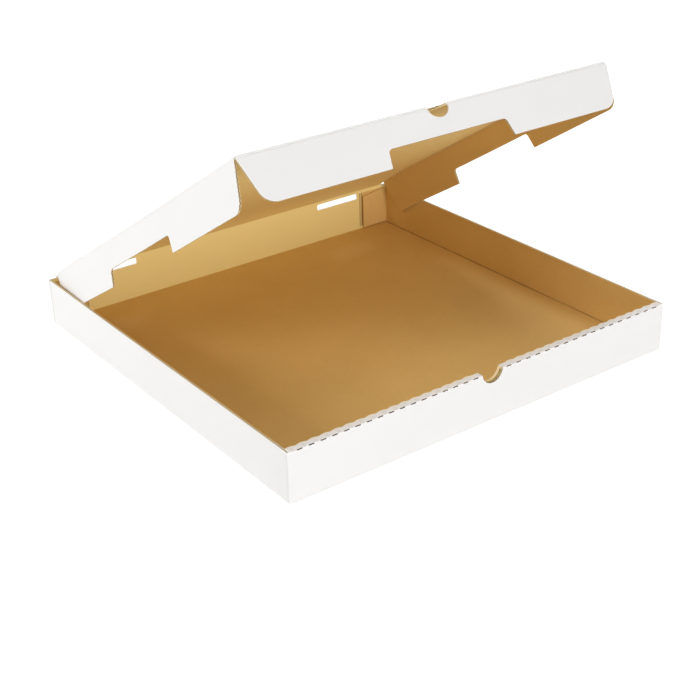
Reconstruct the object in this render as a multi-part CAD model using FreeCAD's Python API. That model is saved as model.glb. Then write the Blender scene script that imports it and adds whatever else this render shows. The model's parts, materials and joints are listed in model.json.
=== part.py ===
import FreeCAD, Part

import math
import os

V = FreeCAD.Vector

# Sizes of the box, mm. Width is left to right, length is front to back.
box_width = 400.0
box_length = 400.0
wall_height = 45.0
board = 2.0
fold_radius = 1.2
fit_gap = 0.15
hinge_gap = 0.3

# Lid: it stands in from the side walls at the hinge, narrows to the front, and ends short of
# the front wall, so that its flaps tuck inside the tray.
lid_side_clear = 6.0
lid_taper = 9.0
lid_front_clear = 14.0
lid_open_deg = 31.8
lid_above_rim = 0.3

# Flaps of the lid.
flap_depth = 40.0
flap_corner = 9.0
flap_rear_start = 8.0
flap_rear_lean = 6.0
side_cut_forward = 2.0
side_cut_length = 126.0
cut_depth = 15.0
cut_flare = 3.0
cut_corner = 4.0
side_flap_deg = 5.0
front_flap_deg = 5.0
front_flap_lean = 10.0
front_flap_corner = 14.0
front_cut_length = 118.0

# Half-round finger openings of the front wall and of the lid's front fold.
thumb_radius = 11.0
thumb_above_rim = 1.0

# Cut crease along the top of the double front wall.
slit_pitch = 10.7
slit_length = 5.2
slit_width = 0.9
slit_first = 17.6
slit_end_clear = 8.5
scallop_rise = 1.1
scallop_length = 8.6

# Ears that lock the corners, tabs and slots.
front_ear_length = 86.0
front_ear_taper = 8.0
ear_corner = 3.0
ear_top_clear = 2.4
ear_foot_clear = 1.0
rear_ear_length = 31.0
rear_ear_drop = 4.0
rear_tongue_height = 26.0
rear_tongue_foot = 9.0
tongue_gap = 0.3
vent_from_side = 40.0
vent_length = 52.0
vent_height = 6.4
vent_below_rim = 2.0
vent_corner = 1.5
tab_from_side = 50.0
tab_length = 60.0

half_width = box_width / 2.0
half_length = box_length / 2.0
lid_half_rear = half_width - lid_side_clear
lid_half_front = lid_half_rear - lid_taper
lid_depth = box_length - lid_front_clear
half_board = board / 2.0
front_face = -half_length
front_ear_outer = front_face + board + fit_gap
front_inner_outer = front_ear_outer + board + fit_gap
front_inner_face = front_inner_outer + board
back_inner_face = half_length - board
rear_ear_outer = back_inner_face - fit_gap
side_inner_face = half_width - board

hinge_y = half_length - half_board
hinge_z = wall_height + lid_above_rim + half_board
hinge_half_length = lid_half_rear - board + hinge_gap
vent_inner = half_width - vent_from_side - vent_length
tab_inner = half_width - tab_from_side - tab_length
slit_count = int((half_width - slit_end_clear - slit_first) / slit_pitch) + 1
front_axis_s = lid_depth - half_board
side_axis_rear = lid_half_rear - board
side_axis_front = lid_half_front - board
flap_front_end = lid_depth - board - 2.0 * hinge_gap


def box(x0, x1, y0, y1, z0, z1):
    return Part.makeBox(x1 - x0, y1 - y0, z1 - z0, V(x0, y0, z0))


def outline(corners):
    """Closed wire in the XY plane through (x, y, corner radius) points."""
    count = len(corners)
    starts, ends, arcs = [], [], []
    for i in range(count):
        p = V(corners[i][0], corners[i][1], 0.0)
        before = V(corners[i - 1][0], corners[i - 1][1], 0.0) - p
        after = V(corners[(i + 1) % count][0], corners[(i + 1) % count][1], 0.0) - p
        radius = corners[i][2]
        if radius <= 0.0:
            starts.append(p)
            ends.append(p)
            arcs.append(None)
            continue
        before.normalize()
        after.normalize()
        half_angle = math.acos(max(-1.0, min(1.0, before.dot(after)))) / 2.0
        setback = radius / math.tan(half_angle)
        middle = before + after
        middle.normalize()
        centre = p + middle * (radius / math.sin(half_angle))
        starts.append(p + before * setback)
        ends.append(p + after * setback)
        arcs.append(centre - middle * radius)
    edges = []
    for i in range(count):
        if arcs[i] is not None:
            edges.append(Part.Arc(starts[i], arcs[i], ends[i]).toShape())
        following = (i + 1) % count
        if (starts[following] - ends[i]).Length > 1e-6:
            edges.append(Part.makeLine(ends[i], starts[following]))
    return Part.Wire(edges)


def plate(corners, thickness):
    """Board of the given outline, from z = 0 up."""
    return Part.Face(outline(corners)).extrude(V(0, 0, thickness))


def stand(shape):
    """Turns a plate drawn in XY so that its y runs up and its thickness back."""
    turned = shape.copy()
    turned.rotate(V(0, 0, 0), V(1, 0, 0), 90.0)
    return turned


def both_sides(shape):
    return [shape, shape.mirror(V(0, 0, 0), V(1, 0, 0))]


def joined(shapes):
    return shapes[0].fuse(shapes[1:]).removeSplitter()


def slit_places():
    right = [slit_first + slit_pitch * i for i in range(slit_count)]
    return [-x for x in reversed(right)] + right


# Front wall: outer layer, top strip with the cut crease, inner layer with tabs.
def front_wall():
    outer = box(-half_width, half_width, front_face, front_face + board, 0.0, wall_height)
    strip = box(-half_width, half_width, front_face, front_inner_face,
                wall_height - board, wall_height)
    corner = strip.fuse(outer).removeSplitter()
    crease = [e for e in corner.Edges
              if abs(e.CenterOfMass.y - front_face) < 1e-3
              and abs(e.CenterOfMass.z - wall_height) < 1e-3]
    corner = corner.makeFillet(fold_radius, crease)
    inner_half = side_inner_face - fit_gap
    inner = box(-inner_half, inner_half, front_inner_outer, front_inner_face,
                board + fit_gap, wall_height - half_board)
    tab = box(tab_inner, tab_inner + tab_length, front_inner_outer, front_inner_face,
              fit_gap, board + half_board)
    return joined([corner, inner] + both_sides(tab) + scallops())


def scallops():
    """Shallow arcs of the inner crease, midway between the slits."""
    half = scallop_length / 2.0
    radius = (half * half + scallop_rise * scallop_rise) / (2.0 * scallop_rise)
    middle_y = front_inner_face + scallop_rise - radius
    round_bar = Part.makeCylinder(radius, board, V(0, middle_y, wall_height - board))
    keep = box(-half, half, front_inner_face - fit_gap, front_inner_face + board,
               wall_height - board, wall_height)
    bump = round_bar.common(keep)
    shapes = []
    for x in slit_places():
        step = slit_pitch / 2.0 if x > 0 else -slit_pitch / 2.0
        piece = bump.copy()
        piece.translate(V(x + step, 0, 0))
        shapes.append(piece)
    return shapes


def slits():
    """Slits cut through the folded outer crease, at 45 degrees to both faces."""
    reach = board * 2.0
    cutters = []
    for x in slit_places():
        cutter = box(-slit_length / 2.0, slit_length / 2.0, -slit_width / 2.0, slit_width / 2.0,
                     -reach, half_board)
        cutter.rotate(V(0, 0, 0), V(1, 0, 0), 45.0)
        cutter.translate(V(x, front_face, wall_height))
        cutters.append(cutter)
    return cutters


def front_thumb():
    return Part.makeCylinder(thumb_radius, front_inner_face - front_face + 2.0 * board,
                             V(0, front_face - board, wall_height + thumb_above_rim),
                             V(0, 1, 0))


# Side wall with its front ear between the front layers and its rear ear.
def side_wall():
    wall = box(side_inner_face, half_width, front_ear_outer, rear_ear_outer, 0.0, wall_height)
    top = wall_height - ear_top_clear
    foot = board + ear_foot_clear
    front_inner_end = side_inner_face - front_ear_length
    front_ear = stand(plate([(front_inner_end, foot + front_ear_taper, ear_corner),
                             (side_inner_face + half_board, foot, 0.0),
                             (side_inner_face + half_board, top, 0.0),
                             (front_inner_end, top - front_ear_taper, ear_corner)], board))
    front_ear.translate(V(0, front_ear_outer + board, 0))
    rear_end = side_inner_face - rear_ear_length
    rear_ear = stand(plate([(rear_end, foot, 0.0),
                            (side_inner_face + half_board, foot, 0.0),
                            (side_inner_face + half_board, top, 0.0),
                            (rear_end, top - rear_ear_drop, 0.0)], board))
    rear_ear.translate(V(0, rear_ear_outer, 0))
    tongue = box(rear_end, rear_end + board, rear_ear_outer - board, half_length - tongue_gap,
                 rear_tongue_foot, rear_tongue_foot + rear_tongue_height)
    wall = joined([wall, front_ear, rear_ear, tongue])
    folds = [e for e in wall.Edges
             if abs(e.CenterOfMass.x - half_width) < 1e-3
             and min(abs(e.CenterOfMass.y - front_ear_outer),
                     abs(e.CenterOfMass.y - rear_ear_outer)) < 1e-3
             and e.Length > wall_height / 2.0]
    return wall.makeFillet(fold_radius, folds)


# Back wall with the round top crease that carries the lid.
def back_wall():
    wall = box(-half_width, half_width, back_inner_face, half_length, 0.0, wall_height)
    rise = box(-hinge_half_length, hinge_half_length, back_inner_face, half_length,
               wall_height - board, hinge_z)
    bead = Part.makeCylinder(half_board, 2.0 * hinge_half_length,
                             V(-hinge_half_length, hinge_y, hinge_z), V(1, 0, 0))
    return joined([wall, rise, bead])


def back_openings():
    vent_top = wall_height - vent_below_rim
    vent = stand(plate([(vent_inner, vent_top - vent_height, vent_corner),
                        (vent_inner + vent_length, vent_top - vent_height, vent_corner),
                        (vent_inner + vent_length, vent_top, vent_corner),
                        (vent_inner, vent_top, vent_corner)], 4.0 * board))
    vent.translate(V(0, half_length + board, 0))
    tongue_x = side_inner_face - rear_ear_length
    slot = box(tongue_x - tongue_gap, tongue_x + board + tongue_gap,
               back_inner_face - fit_gap / 2.0, half_length + board,
               rear_tongue_foot - tongue_gap, rear_tongue_foot + rear_tongue_height + tongue_gap)
    return both_sides(vent) + both_sides(slot)


def bottom():
    sheet = box(-half_width, half_width, -half_length, half_length, 0.0, board)
    slot = box(tab_inner - tongue_gap, tab_inner + tab_length + tongue_gap,
               front_inner_outer - fit_gap, front_inner_face + fit_gap, -board, 2.0 * board)
    return sheet.cut(both_sides(slot))


def tray():
    back = back_wall().cut(back_openings())
    shell = joined([bottom(), back] + both_sides(side_wall()))
    front = front_wall().cut([front_thumb()] + slits())
    body = joined([shell, front])
    creases = [e for e in body.Edges
               if abs(e.CenterOfMass.z) < 1e-3
               and (abs(abs(e.CenterOfMass.x) - half_width) < 1e-3
                    or abs(abs(e.CenterOfMass.y) - half_length) < 1e-3)]
    return body.makeFillet(fold_radius, creases)


# Lid parts are drawn closed: hinge axis on X through the origin, front towards -Y.
def side_axis_x(s):
    return side_axis_rear + (side_axis_front - side_axis_rear) * s / lid_depth


def lid_panel():
    rear = half_board + hinge_gap
    rear_half = side_axis_x(rear)
    front_half = side_axis_x(front_axis_s)
    sheet = plate([(-rear_half, -rear, 0.0), (-front_half, -front_axis_s, 0.0),
                   (front_half, -front_axis_s, 0.0), (rear_half, -rear, 0.0)], board)
    sheet.translate(V(0, 0, -half_board))
    front_bead = Part.makeCylinder(half_board, 2.0 * front_half,
                                   V(-front_half, -front_axis_s, 0), V(1, 0, 0))
    beads = [front_bead]
    start = V(side_axis_x(flap_rear_start), -flap_rear_start, -half_board)
    finish = V(side_axis_x(flap_front_end), -flap_front_end, -half_board)
    along = finish - start
    side_bead = Part.makeCylinder(board, along.Length, start, along)
    lower = box(0.0, half_width + board, -lid_depth - board, board, -half_board - 3.0 * board,
                -half_board)
    side_bead = side_bead.cut(lower)
    beads += both_sides(side_bead)
    panel = joined([sheet] + beads)
    thumb = Part.makeCylinder(thumb_radius, 4.0 * board, V(0, -lid_depth, -2.0 * board))
    return panel.cut(thumb)


def side_flap():
    """Right flap, hanging from its inner-face crease and springing outwards a little."""
    start = V(side_axis_x(0.0), 0, -half_board)
    drop = flap_depth - board
    cut_rear = lid_depth / 2.0 + side_cut_forward - side_cut_length / 2.0
    cut_front = cut_rear + side_cut_length
    flat = plate([(flap_rear_start, -hinge_gap, 0.0),
                  (flap_front_end, -hinge_gap, 0.0),
                  (flap_front_end, -drop, flap_corner),
                  (cut_front + cut_flare, -drop, 0.0),
                  (cut_front, cut_depth - drop, cut_corner),
                  (cut_rear, cut_depth - drop, cut_corner),
                  (cut_rear - cut_flare, -drop, 0.0),
                  (flap_rear_start + flap_rear_lean, -drop, flap_corner / 2.0)], board)
    flap = stand(flat)
    flap.translate(V(0, board, 0))
    flap.rotate(V(0, 0, 0), V(1, 0, 0), side_flap_deg)
    taper = math.degrees(math.atan2(side_axis_rear - side_axis_front, lid_depth))
    flap.rotate(V(0, 0, 0), V(0, 0, 1), -90.0 - taper)
    flap.translate(start)
    return flap


def front_flap():
    drop = flap_depth - half_board
    half = lid_half_front - hinge_gap
    cut_half = front_cut_length / 2.0
    flat = plate([(-half, -half_board - hinge_gap, 0.0),
                  (-half + front_flap_lean, -drop, front_flap_corner),
                  (-cut_half - cut_flare, -drop, 0.0),
                  (-cut_half, cut_depth - drop, cut_corner),
                  (cut_half, cut_depth - drop, cut_corner),
                  (cut_half + cut_flare, -drop, 0.0),
                  (half - front_flap_lean, -drop, front_flap_corner),
                  (half, -half_board - hinge_gap, 0.0)], board)
    flap = stand(flat)
    flap.translate(V(0, half_board, 0))
    thumb = Part.makeCylinder(thumb_radius, 4.0 * board, V(0, -2.0 * board, thumb_above_rim),
                              V(0, 1, 0))
    flap = flap.cut(thumb)
    flap.rotate(V(0, 0, 0), V(1, 0, 0), -front_flap_deg)
    flap.translate(V(0, -front_axis_s, 0))
    return flap


def opened(shape):
    """Turns a lid part from the closed drawing to the photographed opening."""
    turned = shape.copy()
    turned.rotate(V(0, 0, 0), V(1, 0, 0), -lid_open_deg)
    turned.translate(V(0, hinge_y, hinge_z))
    return turned


right_flap = side_flap()
nodes = {
    "tray": tray(),
    "lid_panel": opened(lid_panel()),
    "lid_front_flap": opened(front_flap()),
    "lid_right_flap": opened(right_flap),
    "lid_left_flap": opened(right_flap.mirror(V(0, 0, 0), V(1, 0, 0))),
}

os.makedirs("parts", exist_ok=True)
for name, shape in nodes.items():
    shape.exportStep("parts/" + name + ".step")
    size = shape.BoundBox
    print(name, len(shape.Solids), "solids", len(shape.Faces), "faces", shape.isValid(),
          [round(v, 2) for v in (size.XMin, size.XMax, size.YMin, size.YMax, size.ZMin, size.ZMax)],
          round(shape.Volume, 1))
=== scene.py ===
import json
import math

import bmesh
import bpy
from mathutils import Matrix, Vector


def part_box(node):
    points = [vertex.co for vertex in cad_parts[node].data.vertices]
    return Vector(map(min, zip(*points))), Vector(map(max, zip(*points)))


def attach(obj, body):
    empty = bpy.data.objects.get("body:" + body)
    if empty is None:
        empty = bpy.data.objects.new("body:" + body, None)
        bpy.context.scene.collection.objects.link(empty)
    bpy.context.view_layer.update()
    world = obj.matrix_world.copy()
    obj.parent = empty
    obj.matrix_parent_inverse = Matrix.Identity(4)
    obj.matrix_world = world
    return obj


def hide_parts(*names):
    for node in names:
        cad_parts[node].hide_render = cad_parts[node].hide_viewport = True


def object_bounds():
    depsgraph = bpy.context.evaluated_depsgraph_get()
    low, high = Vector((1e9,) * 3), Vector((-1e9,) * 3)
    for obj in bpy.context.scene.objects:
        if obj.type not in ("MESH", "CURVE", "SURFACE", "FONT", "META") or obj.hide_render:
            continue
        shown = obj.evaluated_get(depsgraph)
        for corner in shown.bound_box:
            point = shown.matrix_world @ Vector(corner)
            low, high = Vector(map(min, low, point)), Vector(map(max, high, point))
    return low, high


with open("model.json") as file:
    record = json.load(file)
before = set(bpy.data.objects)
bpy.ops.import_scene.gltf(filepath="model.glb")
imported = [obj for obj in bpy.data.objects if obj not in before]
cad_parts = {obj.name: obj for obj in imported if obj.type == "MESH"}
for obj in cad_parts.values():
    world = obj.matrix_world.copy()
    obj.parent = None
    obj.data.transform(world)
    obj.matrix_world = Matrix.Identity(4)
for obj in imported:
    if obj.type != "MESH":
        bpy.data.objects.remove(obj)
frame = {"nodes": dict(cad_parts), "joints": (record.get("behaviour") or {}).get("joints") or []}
cad_low, cad_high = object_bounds()

# Camera
# A long lens, a little to the left of the front wall and well above it, so that the inside of the
# tray and the raised lid both show. It is rolled slightly, as the photograph is.
azimuth = math.radians(-35.7)
elevation = math.radians(27.2)
roll = math.radians(-1.7)
camera_distance = 1.132
look_at = Vector((-0.072, -0.104, 0.050))
photo_width_px = 700
focal_px = 1370
sensor_mm = 36.0

back = Vector((math.sin(azimuth) * math.cos(elevation),
               -math.cos(azimuth) * math.cos(elevation), math.sin(elevation)))
level_right = back.cross(Vector((0, 0, 1))).normalized() * -1
level_up = back.cross(level_right)
right = level_right * math.cos(roll) + level_up * math.sin(roll)
up = level_up * math.cos(roll) - level_right * math.sin(roll)
camera = bpy.data.objects.new("camera", bpy.data.cameras.new("camera"))
camera.data.sensor_width = sensor_mm
camera.data.lens = focal_px * sensor_mm / photo_width_px
turn = Matrix((right, up, back)).transposed().to_4x4()
camera.matrix_world = Matrix.Translation(look_at + back * camera_distance) @ turn
bpy.context.scene.collection.objects.link(camera)
bpy.context.scene.camera = camera

# Studio
# A seamless white table under an even white sky. A low soft lamp in front reaches in under the
# raised lid, others brighten the sides, the top and the back. The table fades to pure white.
floor_half = 6.0
floor_tone = (0.90, 0.90, 0.90, 1)
floor_near_lift = 0.42
floor_far_lift = 0.64
fade_from = 0.27
fade_to = 0.50
pure_white = (1, 1, 1, 1)
sky_strength = 0.36
lamps = {"front_lamp": (Vector((-0.20, -2.65, 0.40)), 34.0),
         "left_lamp": (Vector((-2.4, 0.9, 0.9)), 34.0),
         "top_lamp": (Vector((-0.3, -0.9, 2.2)), 7.0),
         "back_lamp": (Vector((0.8, 2.3, 1.9)), 22.0),
         "right_lamp": (Vector((2.4, 0.5, 0.30)), 9.0)}
lamp_size = 0.9


def node(tree, kind, **settings):
    """Adds a node, and sets its inputs or its own settings by name."""
    made = tree.nodes.new(kind)
    for key, value in settings.items():
        if key in made.inputs:
            made.inputs[key].default_value = value
        else:
            setattr(made, key, value)
    return made


def math_node(tree, operation, *values, clamp=False):
    """Adds a Math node fed with numbers and other nodes' outputs, and gives its output."""
    made = node(tree, "ShaderNodeMath", operation=operation, use_clamp=clamp)
    for place, value in enumerate(values):
        if isinstance(value, (int, float)):
            made.inputs[place].default_value = value
        else:
            tree.links.new(value, made.inputs[place])
    return made.outputs[0]


def map_range(tree, value, from_low, from_high, to_low=0.0, to_high=1.0):
    """Spreads one range of a value evenly over another, and holds it at the ends."""
    made = node(tree, "ShaderNodeMapRange")
    made.inputs["From Min"].default_value = from_low
    made.inputs["From Max"].default_value = from_high
    made.inputs["To Min"].default_value = to_low
    made.inputs["To Max"].default_value = to_high
    tree.links.new(value, made.inputs["Value"])
    return made.outputs["Result"]


def principled(name, roughness, specular):
    """A new material with its node tree and its shader."""
    material = bpy.data.materials.new(name)
    material.use_nodes = True
    shader = material.node_tree.nodes["Principled BSDF"]
    shader.inputs["Roughness"].default_value = roughness
    shader.inputs["Specular IOR Level"].default_value = specular
    return material, material.node_tree, shader


floor_form = bmesh.new()
bmesh.ops.create_grid(floor_form, x_segments=1, y_segments=1, size=floor_half)
floor_mesh = bpy.data.meshes.new("floor")
floor_form.to_mesh(floor_mesh)
floor_form.free()
floor = bpy.data.objects.new("floor", floor_mesh)
bpy.context.scene.collection.objects.link(floor)
floor_paint, tree, shader = principled("floor_white", roughness=0.9, specular=0.0)
shader.inputs["Base Color"].default_value = floor_tone
shader.inputs["Emission Color"].default_value = pure_white
ray = node(tree, "ShaderNodeLightPath")
place = node(tree, "ShaderNodeTexCoord")
distance = node(tree, "ShaderNodeVectorMath", operation="LENGTH")
tree.links.new(place.outputs["Object"], distance.inputs[0])
fade = map_range(tree, distance.outputs["Value"], fade_from, fade_to, floor_near_lift, floor_far_lift)
lift = math_node(tree, "MULTIPLY", ray.outputs["Is Camera Ray"], fade)
tree.links.new(lift, shader.inputs["Emission Strength"])
floor_mesh.materials.append(floor_paint)

world = bpy.data.worlds.new("studio")
bpy.context.scene.world = world
world.use_nodes = True
tree = world.node_tree
sky = tree.nodes["Background"]
sky.inputs["Color"].default_value = pure_white
ray = node(tree, "ShaderNodeLightPath")
seen = math_node(tree, "MAXIMUM", ray.outputs["Is Camera Ray"], ray.outputs["Is Glossy Ray"])
tree.links.new(map_range(tree, seen, 0.0, 1.0, sky_strength, 1.0), sky.inputs["Strength"])

for name, (lamp_place, lamp_power) in lamps.items():
    lamp = bpy.data.objects.new(name, bpy.data.lights.new(name, "AREA"))
    lamp.data.energy = lamp_power
    lamp.data.size = lamp_size
    lamp.location = lamp_place
    lamp.rotation_euler = (-lamp_place).to_track_quat("-Z", "Y").to_euler()
    bpy.context.scene.collection.objects.link(lamp)
bpy.context.scene.view_settings.view_transform = "Standard"

# Liner marks
# Both faces of the board are paper liners glued over flutes, which show through as faint ridges
# with the paper's own fibres. The flutes run from front to back in the flat blank.
flute_pitch = 0.0034
flute_turns = 2 * math.pi / flute_pitch
fibre_stretch = (420.0, 90.0, 1.0)
noise_middle = 0.5


def new_group(name, inputs, outputs):
    """An empty node group with float inputs and outputs, and its two end nodes."""
    group = bpy.data.node_groups.new(name, "ShaderNodeTree")
    for socket in inputs:
        group.interface.new_socket(socket, in_out="INPUT", socket_type="NodeSocketFloat")
    for socket in outputs:
        group.interface.new_socket(socket, in_out="OUTPUT", socket_type="NodeSocketFloat")
    return group, group.nodes.new("NodeGroupInput"), group.nodes.new("NodeGroupOutput")


liner_marks, marks_in, marks_out = new_group(
    "liner_marks", ("Flute show", "Fibre show"), ("Tint", "Height"))
uv = node(liner_marks, "ShaderNodeUVMap", uv_map="sheet")
place = node(liner_marks, "ShaderNodeTexCoord")
parts = node(liner_marks, "ShaderNodeSeparateXYZ")
liner_marks.links.new(uv.outputs["UV"], parts.inputs[0])
turns = math_node(liner_marks, "MULTIPLY", parts.outputs["X"], flute_turns)
ridge = math_node(liner_marks, "SINE", turns)
wander = node(liner_marks, "ShaderNodeTexNoise", Scale=9.0, Detail=2.0)
liner_marks.links.new(place.outputs["Object"], wander.inputs["Vector"])
strength = math_node(liner_marks, "MULTIPLY", wander.outputs["Fac"], marks_in.outputs["Flute show"])
ridges = math_node(liner_marks, "MULTIPLY", ridge, strength)
stretch = node(liner_marks, "ShaderNodeMapping", Scale=fibre_stretch)
liner_marks.links.new(uv.outputs["UV"], stretch.inputs["Vector"])
fibre = node(liner_marks, "ShaderNodeTexNoise", Scale=1.6, Detail=6.0, Roughness=0.65)
liner_marks.links.new(stretch.outputs[0], fibre.inputs["Vector"])
fibre_mid = math_node(liner_marks, "SUBTRACT", fibre.outputs["Fac"], noise_middle)
fibres = math_node(liner_marks, "MULTIPLY", fibre_mid, marks_in.outputs["Fibre show"])
both = math_node(liner_marks, "ADD", ridges, fibres)
liner_marks.links.new(both, marks_out.inputs["Tint"])
liner_marks.links.new(both, marks_out.inputs["Height"])

# White liner
# The outside: matt clay-coated paper with a breath of grey cloud. Along the front wall's cut
# crease the strip's top carries painted light, paler than the rest, with painted shade in a valley
# between each pair of slits; its torn edge shows cream on the scalloped side.
white_tone = (0.885, 0.875, 0.865, 1)
white_cloud = (0.83, 0.82, 0.80, 1)
cloud_share = 0.50
mark_share = 0.50
# Painted light: the strip's top is paler than the white liner, to stand clear of the lid's shade.
strip_lit_tone = (0.98, 0.97, 0.96, 1)
strip_edge_tone = (0.98, 0.91, 0.76, 1)
# Painted shade in the valleys between the slits.
strip_valley_shade_tone = (0.80, 0.77, 0.75, 1)
valley_shade_share = 0.5
first_slit = 0.0176
slit_pitch = 0.0107
strip_reach = 0.0075
strip_height = 0.0438
cream_from = 0.0040
cream_to = 0.0068


def colour_mix(tree, share, first, second):
    """Mixes two colours, each a value or another node's output, and gives the result."""
    made = node(tree, "ShaderNodeMix", data_type="RGBA")
    for socket, value in (("Factor", share), ("A", first), ("B", second)):
        target = [s for s in made.inputs if s.name == socket and s.enabled][0]
        if isinstance(value, (int, float, tuple)):
            target.default_value = value
        else:
            tree.links.new(value, target)
    return [s for s in made.outputs if s.enabled][0]


def placed_group(tree, group, **shares):
    """Places a node group in a material, with its own input values."""
    made = node(tree, "ShaderNodeGroup", node_tree=group)
    for key, value in shares.items():
        made.inputs[key.replace("_", " ").capitalize()].default_value = value
    return made


def placed_noise(tree, place, **settings):
    """A noise on the part's own coordinates."""
    made = node(tree, "ShaderNodeTexNoise", **settings)
    tree.links.new(place.outputs["Object"], made.inputs["Vector"])
    return made.outputs["Fac"]


def with_bump(tree, shader, height, distance):
    """Lets a height stand up from the surface by a distance in metres."""
    bump = node(tree, "ShaderNodeBump", Strength=1.0, Distance=distance)
    tree.links.new(height, bump.inputs["Height"])
    tree.links.new(bump.outputs["Normal"], shader.inputs["Normal"])


# The second output is a wave for painted shade between the slits; the strip itself stays flat.
strip_marks, marks_in, marks_out = new_group("strip_marks", (), ("Strip", "Pucker shade", "Cream"))
place = node(strip_marks, "ShaderNodeTexCoord")
parts = node(strip_marks, "ShaderNodeSeparateXYZ")
strip_marks.links.new(place.outputs["Object"], parts.inputs[0])
off_middle = math_node(strip_marks, "ABSOLUTE", parts.outputs["X"])
from_slit = math_node(strip_marks, "SUBTRACT", off_middle, first_slit)
turns = math_node(strip_marks, "MULTIPLY", from_slit, 2 * math.pi / slit_pitch)
wave = math_node(strip_marks, "COSINE", turns)
in_front = math_node(strip_marks, "LESS_THAN", parts.outputs["Y"], cad_low.y + strip_reach)
on_top = math_node(strip_marks, "GREATER_THAN", parts.outputs["Z"], strip_height)
on_strip = math_node(strip_marks, "MULTIPLY", in_front, on_top)
pucker_shade = math_node(strip_marks, "MULTIPLY", wave, on_strip)
by_edge = map_range(strip_marks, parts.outputs["Y"], cad_low.y + cream_from, cad_low.y + cream_to)
cream = math_node(strip_marks, "MULTIPLY", by_edge, on_strip)
strip_marks.links.new(on_strip, marks_out.inputs["Strip"])
strip_marks.links.new(pucker_shade, marks_out.inputs["Pucker shade"])
strip_marks.links.new(cream, marks_out.inputs["Cream"])

white_liner, tree, shader = principled("white_liner", roughness=0.55, specular=0.3)
marks = placed_group(tree, liner_marks, flute_show=0.07, fibre_show=0.20)
place = node(tree, "ShaderNodeTexCoord")
cloud = placed_noise(tree, place, Scale=14.0, Detail=4.0)
cloud_grey = math_node(tree, "MULTIPLY", cloud, cloud_share)
mark_grey = math_node(tree, "MULTIPLY", marks.outputs["Tint"], mark_share)
grey = math_node(tree, "ADD", cloud_grey, mark_grey)
clouded = colour_mix(tree, grey, white_tone, white_cloud)
strip = placed_group(tree, strip_marks)
# Painted shade in the valleys between the slits; the strip stays flat.
valley_shade = math_node(tree, "MULTIPLY", strip.outputs["Pucker shade"], -valley_shade_share, clamp=True)
# Painted light over the whole strip top.
strip_lit = colour_mix(tree, strip.outputs["Strip"], clouded, strip_lit_tone)
pucker_shaded = colour_mix(tree, valley_shade, strip_lit, strip_valley_shade_tone)
creamed = colour_mix(tree, strip.outputs["Cream"], pucker_shaded, strip_edge_tone)
tree.links.new(creamed, shader.inputs["Base Color"])
with_bump(tree, shader, marks.outputs["Height"], distance=0.00005)

# Kraft liner
# The inside: bare golden brown paper, blotched, with pale and dark fibres along the flutes. It
# carries painted light, paler where it turns to the front lamp, and painted shade, dark lines along
# the creases under the side walls and beside the ears' slots.
kraft_tone = (0.74, 0.480, 0.168, 1)
kraft_dark = (0.63, 0.385, 0.120, 1)
kraft_pale = (0.81, 0.575, 0.235, 1)
# Painted light: the paper turns toward this paler tone where it faces the front lamp.
kraft_front_lit_tone = (0.97, 0.810, 0.350, 1)
# Painted shade in the creases under the side walls and beside the ears' slots.
painted_shade_tone = (0.30, 0.165, 0.050, 1)
blotch_from = 0.35
blotch_to = 0.75
blotch_share = 0.55
fibre_base = 0.18
fibre_share = 0.9
speck_from = 0.62
speck_to = 0.78
speck_share = 0.35
front_light_share = 0.80
board_thick = 0.002
side_inner = cad_high.x - board_thick
# Painted shade lies this close to the creases under the side walls.
crease_spread = 0.0009
slot_from_wall = 0.0310
slot_width = 0.0040
slot_margin = 0.0002
slot_foot = 0.0045
slot_top = 0.0425
# Depths of the painted shade across the band beside each ear's end, inner side first.
slot_shade_levels = ((0.0, 0.0), (0.06, 0.75), (0.28, 0.45), (0.60, 0.30), (0.85, 0.90), (1.0, 0.90))
back_face_depth = 0.0026
ear_face_depth = 0.0048

# Painted shade: dark lines along the creases under the side walls, broken up by noise, and a dark
# band on the back wall beside each ear's end. The Ear mask keeps the painted front light off the
# ears.
fold_shade, marks_in, marks_out = new_group("fold_shade", (), ("Painted shade", "Ear"))
place = node(fold_shade, "ShaderNodeTexCoord")
parts = node(fold_shade, "ShaderNodeSeparateXYZ")
fold_shade.links.new(place.outputs["Object"], parts.inputs[0])
off_middle = math_node(fold_shade, "ABSOLUTE", parts.outputs["X"])
by_wall = math_node(fold_shade, "GREATER_THAN", off_middle, side_inner - crease_spread)
by_bottom = math_node(fold_shade, "LESS_THAN", parts.outputs["Z"], board_thick + crease_spread)
in_crease = math_node(fold_shade, "MULTIPLY", by_wall, by_bottom)
crease_shade_noise = placed_noise(fold_shade, place, Scale=16.0, Detail=3.0)
crease = math_node(fold_shade, "MULTIPLY", in_crease, crease_shade_noise)
slot_side = map_range(fold_shade, off_middle, side_inner - slot_from_wall - slot_width,
                      side_inner - slot_from_wall)
slot_shade_band = node(fold_shade, "ShaderNodeValToRGB")
for stop, (position, depth) in enumerate(slot_shade_levels):
    if stop > 1:
        slot_shade_band.color_ramp.elements.new(position)
    slot_shade_band.color_ramp.elements[stop].position = position
    slot_shade_band.color_ramp.elements[stop].color = (depth, depth, depth, 1)
fold_shade.links.new(slot_side, slot_shade_band.inputs["Fac"])
above_foot = math_node(fold_shade, "GREATER_THAN", parts.outputs["Z"], slot_foot)
below_top = math_node(fold_shade, "LESS_THAN", parts.outputs["Z"], slot_top)
on_back = math_node(fold_shade, "GREATER_THAN", parts.outputs["Y"], cad_high.y - back_face_depth)
before_ear = math_node(fold_shade, "LESS_THAN", off_middle, side_inner - slot_from_wall + slot_margin)
slot_shade = math_node(fold_shade, "MULTIPLY", slot_shade_band.outputs["Color"], on_back)
slot_shade = math_node(fold_shade, "MULTIPLY", slot_shade, before_ear)
slot_shade = math_node(fold_shade, "MULTIPLY", slot_shade, above_foot)
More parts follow.
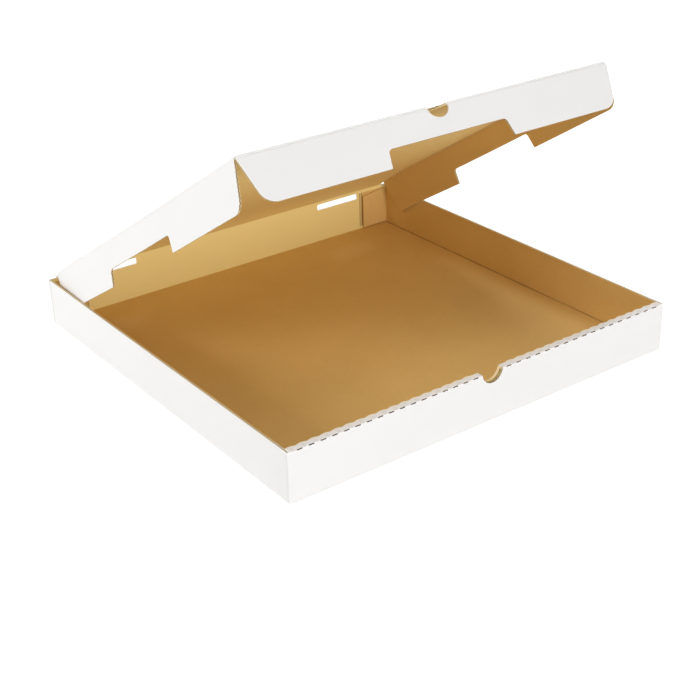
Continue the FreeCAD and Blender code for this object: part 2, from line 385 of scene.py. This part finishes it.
slot_shade = math_node(fold_shade, "MULTIPLY", slot_shade, below_top)
shade_mark = math_node(fold_shade, "MAXIMUM", crease, slot_shade)
beside_slot = math_node(fold_shade, "GREATER_THAN", off_middle,
                        side_inner - slot_from_wall - slot_margin)
near_back = math_node(fold_shade, "GREATER_THAN", parts.outputs["Y"], cad_high.y - ear_face_depth)
ear = math_node(fold_shade, "MULTIPLY", beside_slot, near_back)
ear = math_node(fold_shade, "MULTIPLY", ear, below_top)
fold_shade.links.new(shade_mark, marks_out.inputs["Painted shade"])
fold_shade.links.new(ear, marks_out.inputs["Ear"])

kraft_liner, tree, shader = principled("kraft_liner", roughness=0.72, specular=0.25)
marks = placed_group(tree, liner_marks, flute_show=0.05, fibre_show=0.9)
fold_shade_node = placed_group(tree, fold_shade)
place = node(tree, "ShaderNodeTexCoord")
cloud = placed_noise(tree, place, Scale=11.0, Detail=5.0, Roughness=0.6)
blotch = math_node(tree, "MULTIPLY", map_range(tree, cloud, blotch_from, blotch_to),
                   blotch_share)
blotched = colour_mix(tree, blotch, kraft_tone, kraft_dark)
pale = math_node(tree, "MULTIPLY_ADD", marks.outputs["Tint"], fibre_share, fibre_base)
fibred = colour_mix(tree, pale, blotched, kraft_pale)
specks = placed_noise(tree, place, Scale=900.0, Detail=3.0, Roughness=0.7)
speck = math_node(tree, "MULTIPLY", map_range(tree, specks, speck_from, speck_to),
                  speck_share)
specked = colour_mix(tree, speck, fibred, kraft_dark)
# Painted light: paler where the face turns to the front lamp, kept off the ears.
turned = node(tree, "ShaderNodeSeparateXYZ")
tree.links.new(place.outputs["Normal"], turned.inputs[0])
facing_front = math_node(tree, "MULTIPLY", turned.outputs["Y"], -front_light_share)
front_light = math_node(tree, "SUBTRACT", facing_front, fold_shade_node.outputs["Ear"], clamp=True)
front_lit = colour_mix(tree, front_light, specked, kraft_front_lit_tone)
# Painted shade over the creases and beside the ears' slots.
marked = colour_mix(tree, fold_shade_node.outputs["Painted shade"], front_lit, painted_shade_tone)
tree.links.new(marked, shader.inputs["Base Color"])
with_bump(tree, shader, marks.outputs["Height"], distance=0.00007)

# Cut edge
# Across the flutes it shows two liners, the wavy medium between them and hollows filled with
# painted shade. Along the flutes the knife crushes it, so that the liners nearly meet; the UV map
# widens them there.
white_cut_tone = (0.92, 0.86, 0.70, 1)
kraft_cut_tone = (0.82, 0.66, 0.40, 1)
medium_tone = (0.68, 0.50, 0.28, 1)
# Painted shade in the flute hollows.
hollow_shade_tone = (0.13, 0.09, 0.050, 1)
wave_height = 0.30
medium_half = 0.19
liner_from_middle = 0.33
edge_middle = 0.5

cut_edge, tree, shader = principled("cut_edge", roughness=0.85, specular=0.15)
uv = node(tree, "ShaderNodeUVMap", uv_map="sheet")
parts = node(tree, "ShaderNodeSeparateXYZ")
tree.links.new(uv.outputs["UV"], parts.inputs[0])
wave = math_node(tree, "SINE", math_node(tree, "MULTIPLY", parts.outputs["X"], flute_turns))
wave_middle = math_node(tree, "MULTIPLY_ADD", wave, wave_height, edge_middle)
off_wave = math_node(tree, "SUBTRACT", parts.outputs["Y"], wave_middle)
on_medium = math_node(tree, "LESS_THAN", math_node(tree, "ABSOLUTE", off_wave), medium_half)
off_centre = math_node(tree, "SUBTRACT", parts.outputs["Y"], edge_middle)
on_liner = math_node(tree, "GREATER_THAN", math_node(tree, "ABSOLUTE", off_centre),
                     liner_from_middle)
paper = math_node(tree, "MAXIMUM", on_medium, on_liner)
medium_or_hollow_shade = colour_mix(tree, on_medium, hollow_shade_tone, medium_tone)
white_side = math_node(tree, "GREATER_THAN", parts.outputs["Y"], edge_middle)
liner_tone = colour_mix(tree, white_side, kraft_cut_tone, white_cut_tone)
tree.links.new(colour_mix(tree, on_liner, medium_or_hollow_shade, liner_tone), shader.inputs["Base Color"])
with_bump(tree, shader, paper, distance=0.0003)

board_finish = [white_liner, kraft_liner, cut_edge]
WHITE, KRAFT, EDGE = range(len(board_finish))

# Tray
# Bottom, side walls, back wall and the double front wall, folded from the blank and locked by the
# ears. The cut crease, ears, slots and thumb notch are cut in the one piece.
weld = 2e-5
flat_angle = math.radians(1)
sharp_angle = math.radians(40)
shading_angle = math.radians(35)
edge_round = 0.00022
even_weight = 100
tray_step = 0.02
tray_reach_x = 0.19
tray_reach_y = 0.18
edge_stretch = 0.04
edge_crush = 2.0

joints = {joint["name"]: joint for joint in frame["joints"]}
hinge = Vector(joints["lid_crease"]["pos_m"])
hinge_above_rim = 0.0013
tray_low, tray_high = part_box("tray")
back_inner = tray_high.y - board_thick
rim_height = hinge.z - hinge_above_rim
strip_depth = 0.0063
strip_edge = tray_low.y + strip_depth
skin = 0.0015
thin = 0.0005
tongue_depth = 0.0001
notch_radius = 0.011
notch_above_rim = 0.001
notch_axis = Vector((0, rim_height + notch_above_rim))
slit_reach = 0.0034
slit_facing = Vector((0, -1, 1)).normalized()
rear_ear_end = 0.162
ear_zone = 2.5 * board_thick
above_bottom = 1.3 * board_thick
# How far a face turns to a direction, as a cosine.
loosely = 0.3
broadly = 0.5
squarely = 0.7


def board_copy(node_name):
    """The node's own form, its triangles merged to whole faces and its sharp edges softened."""
    form = bmesh.new()
    form.from_mesh(frame["nodes"][node_name].data)
    bmesh.ops.remove_doubles(form, verts=form.verts, dist=weld)
    bmesh.ops.dissolve_limit(form, angle_limit=flat_angle, verts=form.verts, edges=form.edges)
    sharp = [e for e in form.edges if e.is_manifold and e.calc_face_angle() > sharp_angle]
    bmesh.ops.bevel(form, geom=sharp, offset=edge_round, offset_type="OFFSET", segments=2,
                    profile=0.5, affect="EDGES", clamp_overlap=True, material=-1)
    return form


def grid_cuts(form, origin, direction, spacing, reach):
    """Cuts a form at even steps along one direction, so that it can bend softly."""
    steps = int(reach / spacing)
    for step in range(-steps, steps + 1):
        bmesh.ops.bisect_plane(form, geom=form.verts[:] + form.edges[:] + form.faces[:],
                               plane_co=origin + direction * spacing * step,
                               plane_no=direction, dist=weld)


def finish_piece(form, name, body, node_name):
    """Makes the object, gives it the board's finishes, and stands it in for its node."""
    bmesh.ops.recalc_face_normals(form, faces=form.faces)
    mesh = bpy.data.meshes.new(name)
    form.to_mesh(mesh)
    form.free()
    for material in board_finish:
        mesh.materials.append(material)
    mesh.shade_smooth()
    mesh.set_sharp_from_angle(angle=shading_angle)
    piece = bpy.data.objects.new(name, mesh)
    even = piece.modifiers.new("even_faces", "WEIGHTED_NORMAL")
    even.weight = even_weight
    even.keep_sharp = True
    bpy.context.scene.collection.objects.link(piece)
    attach(piece, body)
    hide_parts(node_name)


def tray_finish(middle, normal):
    """Which side of the board a face of the folded tray shows."""
    off_notch = (Vector((middle.x, middle.z)) - notch_axis).length
    if off_notch < notch_radius + thin and abs(normal.y) < broadly:
        return EDGE
    if middle.z > rim_height + thin / 2:
        return KRAFT if normal.y < -loosely else WHITE
    off_front_crease = Vector((middle.y - tray_low.y, middle.z - rim_height)).length
    if off_front_crease < slit_reach and normal.dot(slit_facing) < loosely:
        return EDGE
    on_rim = middle.z > rim_height - thin and normal.z > broadly
    if middle.y < strip_edge + skin:
        if on_rim:
            return WHITE
        if normal.y > broadly:
            return EDGE if middle.z > rim_height - board_thick else WHITE
    if on_rim:
        return EDGE
    if normal.y > squarely and tray_high.y - thin < middle.y < tray_high.y - tongue_depth:
        return EDGE
    if (abs(middle.x) > tray_high.x - skin or abs(middle.y) > tray_high.y - skin
            or middle.z < thin):
        return WHITE
    if middle.y > back_inner - ear_zone and abs(middle.x) > rear_ear_end:
        return KRAFT
    if abs(normal.z) > squarely and middle.z > above_bottom:
        return EDGE
    if abs(normal.x) > squarely and abs(middle.x) < side_inner - thin:
        return EDGE
    return KRAFT


def tray_uv(spot, middle, normal, finish):
    """Where a point of the tray lies on the sheet: along the flutes, and through an edge."""
    if finish == EDGE and abs(middle.x) > side_inner - thin:
        depth = (abs(spot.x) - side_inner) / board_thick - edge_middle
        return spot.y * edge_stretch, edge_middle + depth * edge_crush
    if finish == EDGE:
        depth = spot.y - tray_low.y if spot.y < 0 else tray_high.y - spot.y
        return spot.x + spot.z, 1 - depth / board_thick
    if abs(normal.x) > squarely:
        return spot.z, spot.y
    if abs(normal.y) > squarely:
        return spot.x, spot.z
    return spot.x, spot.y


middle_of_tray = Vector((0, 0, 0))
sideways = Vector((1, 0, 0))
rearwards = Vector((0, 1, 0))
form = board_copy("tray")
grid_cuts(form, middle_of_tray, sideways, tray_step, tray_reach_x)
grid_cuts(form, middle_of_tray, rearwards, tray_step, tray_reach_y)
grid_cuts(form, middle_of_tray, sideways, tray_high.x - skin, tray_high.x)
sheet_uv = form.loops.layers.uv.new("sheet")
for face in form.faces:
    middle = face.calc_center_median()
    face.material_index = tray_finish(middle, face.normal)
    for loop in face.loops:
        loop[sheet_uv].uv = tray_uv(loop.vert.co, middle, face.normal, face.material_index)
finish_piece(form, "folded_tray", "tray", "tray")

# Lid
# One panel folded from the back wall, with rounded creases to its three flaps. Springy board
# stands up a little before the hinge lets it go, and the middle of the panel bows.
lid_angle = math.radians(-joints["lid_crease"]["range_deg"][0])
lid_forward = Vector((0, -math.cos(lid_angle), math.sin(lid_angle)))
lid_outward = Vector((0, math.sin(lid_angle), math.cos(lid_angle)))
front_crease = Vector(joints["front_flap_crease"]["pos_m"])
lid_length = (front_crease - hinge).length
lid_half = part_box("lid_panel")[1].x
lid_bow = 0.0022
hinge_rise = 0.0024
hinge_rise_at = 0.045
lid_step = 0.01
lid_reach = 0.38
cross_step = 0.02
cross_reach = 0.18
fold_reach = 0.0022
fold_closing = 0.00022
fold_edge = 0.0017
inward = -0.85
lid_folds = [(hinge, sideways, lid_outward + rearwards),
             (front_crease, sideways, lid_outward + lid_forward)]
for side, sign in (("right", 1), ("left", -1)):
    crease = joints[side + "_flap_crease"]
    lid_folds.append((Vector(crease["pos_m"]), Vector(crease["axis"]).normalized(),
                      lid_outward + sideways * sign))


def meet_fold(form, fold_point, toward_fold, reach):
    """Brings a panel's edge up to its fold, so that the liner looks unbroken there."""
    for vert in form.verts:
        if (fold_point - vert.co).dot(toward_fold) < reach:
            vert.co += toward_fold * fold_closing


def dress_panel(form, outward, across, centre, folds):
    """White outside and round the folds, kraft inside, cut edge elsewhere, and the UV map."""
    sheet_uv = form.loops.layers.uv.new("sheet")
    along = outward.cross(across)
    for face in form.faces:
        middle = face.calc_center_median()
        facing = face.normal.dot(outward)
        bulges = [bulge for point, line, bulge in folds
                  if (middle - point).cross(line).length < fold_reach]
        if bulges:
            face.material_index = KRAFT if face.normal.dot(bulges[0]) < inward else WHITE
        elif abs(facing) > broadly:
            face.material_index = WHITE if facing > 0 else KRAFT
        else:
            face.material_index = EDGE
        crosses_flutes = abs(face.normal.dot(along)) > squarely
        for loop in face.loops:
            place = loop.vert.co - centre
            depth = place.dot(outward) / board_thick
            if face.material_index != EDGE:
                loop[sheet_uv].uv = (place.dot(across), place.dot(along))
            elif crosses_flutes:
                loop[sheet_uv].uv = (place.dot(across), edge_middle + depth)
            else:
                loop[sheet_uv].uv = (place.dot(along) * edge_stretch,
                                     edge_middle + depth * edge_crush)


def spring_up(form):
    """Lifts a form along the lid's face where the board stands up in front of the hinge."""
    for vert in form.verts:
        run = max((vert.co - hinge).dot(lid_forward), 0) / hinge_rise_at
        vert.co += lid_outward * hinge_rise * run * math.exp(1 - run)


form = board_copy("lid_panel")
meet_fold(form, hinge, -lid_forward, fold_edge)
grid_cuts(form, hinge, lid_forward, lid_step, lid_reach)
grid_cuts(form, hinge, sideways, cross_step, cross_reach)
dress_panel(form, lid_outward, sideways, hinge, lid_folds)
for vert in form.verts:
    forward = (vert.co - hinge).dot(lid_forward) / lid_length
    sideward = vert.co.x / lid_half
    if 0 < forward < 1 and abs(sideward) < 1:
        rise = math.sin(math.pi * forward) * math.cos(math.pi * sideward / 2)
        vert.co += lid_outward * lid_bow * rise
spring_up(form)
finish_piece(form, "folded_lid", "lid", "lid_panel")

# Lid flaps
# Front flap and the two side flaps, each with its wide cut-out, creased off the lid. The left
# flap springs outwards towards the front; the right one bulges and tucks in behind the front flap.
front_angle = lid_angle - math.radians(joints["front_flap_crease"]["range_deg"][0])
front_down = Vector((0, -math.sin(front_angle), -math.cos(front_angle)))
front_outward = front_down.cross(sideways)
side_flap_angle = math.radians(5)
side_flap_twist = {"right": -0.007, "left": 0.006}
side_flap_bulge = {"right": 0.004, "left": 0.0}
side_flap_depth = 0.038
side_fold_edge = 0.0006

form = board_copy("lid_front_flap")
meet_fold(form, front_crease, -front_down, fold_edge)
grid_cuts(form, front_crease, sideways, cross_step, cross_reach)
dress_panel(form, front_outward, sideways, front_crease, lid_folds)
finish_piece(form, "folded_front_flap", "front_flap", "lid_front_flap")

for side, sign in (("right", 1), ("left", -1)):
    crease = joints[side + "_flap_crease"]
    crease_point = Vector(crease["pos_m"])
    crease_line = Vector(crease["axis"]).normalized()
    sidewards = crease_line.cross(lid_outward).normalized()
    if sidewards.x * sign < 0:
        sidewards = -sidewards
    down = sidewards * math.sin(side_flap_angle) - lid_outward * math.cos(side_flap_angle)
    outward = sidewards * math.cos(side_flap_angle) + lid_outward * math.sin(side_flap_angle)
    form = board_copy("lid_" + side + "_flap")
    meet_fold(form, crease_point, -down, side_fold_edge)
    grid_cuts(form, hinge, lid_forward, lid_step, lid_reach)
    dress_panel(form, outward, down, crease_point + outward * board_thick / 2, lid_folds)
    for vert in form.verts:
        run = (vert.co - hinge).dot(lid_forward) / lid_length
        drop = max((vert.co - crease_point).dot(down), 0) / side_flap_depth
        bulge = side_flap_bulge[side] * math.sin(math.pi * min(max(run, 0), 1))
        vert.co += sidewards * (side_flap_twist[side] * run + bulge) * drop
    spring_up(form)
    finish_piece(form, "folded_" + side + "_flap", side + "_flap", "lid_" + side + "_flap")
